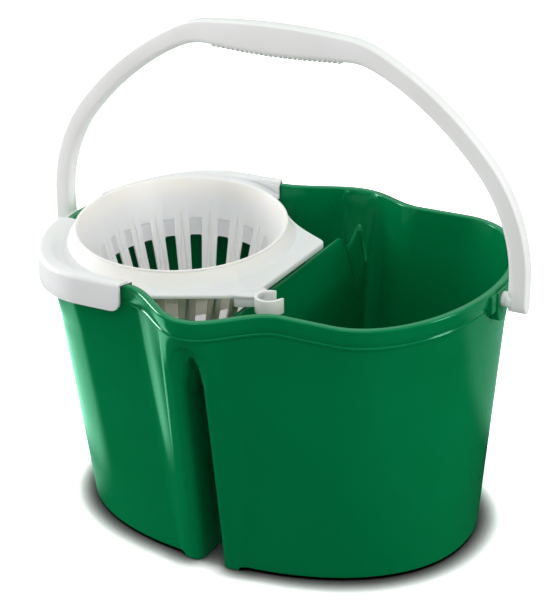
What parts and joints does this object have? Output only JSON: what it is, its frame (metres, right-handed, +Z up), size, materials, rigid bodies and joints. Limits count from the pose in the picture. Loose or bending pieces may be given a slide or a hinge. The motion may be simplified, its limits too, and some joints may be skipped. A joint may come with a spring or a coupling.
{
  "type": "two-chamber mop bucket",
  "caption": "Oval household mop bucket with two chambers, a lift-out slotted wringer with a mop-handle clip, and a swinging bail handle.",
  "frame": {"origin": "on the floor, midway between the two tubs, under the middle of the rim", "axes": "+X toward the large open chamber, +Y to the back, away from the mop-handle clip, +Z up"},
  "size_m": [0.469, 0.35, 0.4545],
  "materials": {
    "tub_green": "glossy injection-moulded polypropylene",
    "wringer_white": "satin injection-moulded polypropylene",
    "handle_white": "satin injection-moulded polypropylene"
  },
  "bodies": {
    "bucket": {"bucket": "tub_green"},
    "wringer": {"wringer": "wringer_white"},
    "handle": {"handle": "handle_white"}
  },
  "joints": [
    {"name": "handle_swing", "type": "hinge", "parent": "bucket", "child": "handle", "pos_m": [0, 0, 0.244], "axis": [1, 0, 0], "range_deg": [-105, 105]},
    {"name": "wringer_lift", "type": "slide", "parent": "bucket", "child": "wringer", "axis": [0, 0, 1], "range_m": [0, 0.07]}
  ]
}
